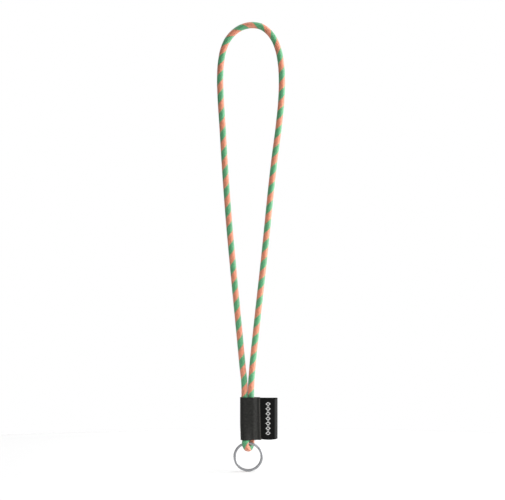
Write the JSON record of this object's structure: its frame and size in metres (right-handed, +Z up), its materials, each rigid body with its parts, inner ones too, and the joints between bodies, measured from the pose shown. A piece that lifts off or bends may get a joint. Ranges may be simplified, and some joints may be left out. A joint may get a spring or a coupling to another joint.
{
  "type": "hanging neck lanyard",
  "caption": "Round braided neck cord in green and coral stripes, closed by a black webbing label with a satin flag and a steel split ring.",
  "frame": {"origin": "inside top of the neck loop, where the lanyard hangs on the neck or a hook", "axes": "+Z up along the hanging lanyard, the label's face looks along -Y, the flag points along +X"},
  "size_m": [0.0694, 0.0152, 0.4586],
  "materials": {
    "cord_braid": "matt braided polyester",
    "core_yarn": "soft filler yarn",
    "melted_tip": "melted polyester",
    "sewing_thread": "bonded thread",
    "webbing": "matt woven polyester",
    "satin": "satin ribbon",
    "woven_mark": "woven white yarn",
    "ring_steel": "nickel plated"
  },
  "bodies": {
    "neck": {"neck_cord": "cord_braid", "neck_core": "core_yarn"},
    "label": {"inner_cord": "cord_braid", "inner_core": "core_yarn", "sealed_ends": "melted_tip", "joining_stitch": "sewing_thread", "webbing_wrap": "webbing", "seam_thread": "sewing_thread", "flag_root": "satin"},
    "flag": {"flag_label": "satin", "flag_mark": "woven_mark"},
    "loop": {"ring_loop": "cord_braid", "ring_loop_core": "core_yarn"},
    "ring": {"split_ring": "ring_steel"}
  },
  "joints": [
    {"name": "label_sway", "type": "hinge", "parent": "neck", "child": "label", "pos_m": [-0.00375, 0, -0.3615], "axis": [1, 0, 0], "range_deg": [-60, 60], "deforming": ["neck_cord", "neck_core"]},
    {"name": "flag_flex", "type": "hinge", "parent": "label", "child": "flag", "pos_m": [0.0099, 0, -0.39815], "axis": [0, 0, 1], "range_deg": [-60, 60]},
    {"name": "loop_sway", "type": "hinge", "parent": "label", "child": "loop", "pos_m": [-0.0034, 0, -0.422], "axis": [1, 0, 0], "range_deg": [-40, 40], "deforming": ["ring_loop", "ring_loop_core"]},
    {"name": "ring_swing", "type": "hinge", "parent": "loop", "child": "ring", "pos_m": [-0.0034, 0, -0.4289], "axis": [0, 1, 0], "range_deg": [-30, 30]}
  ]
}
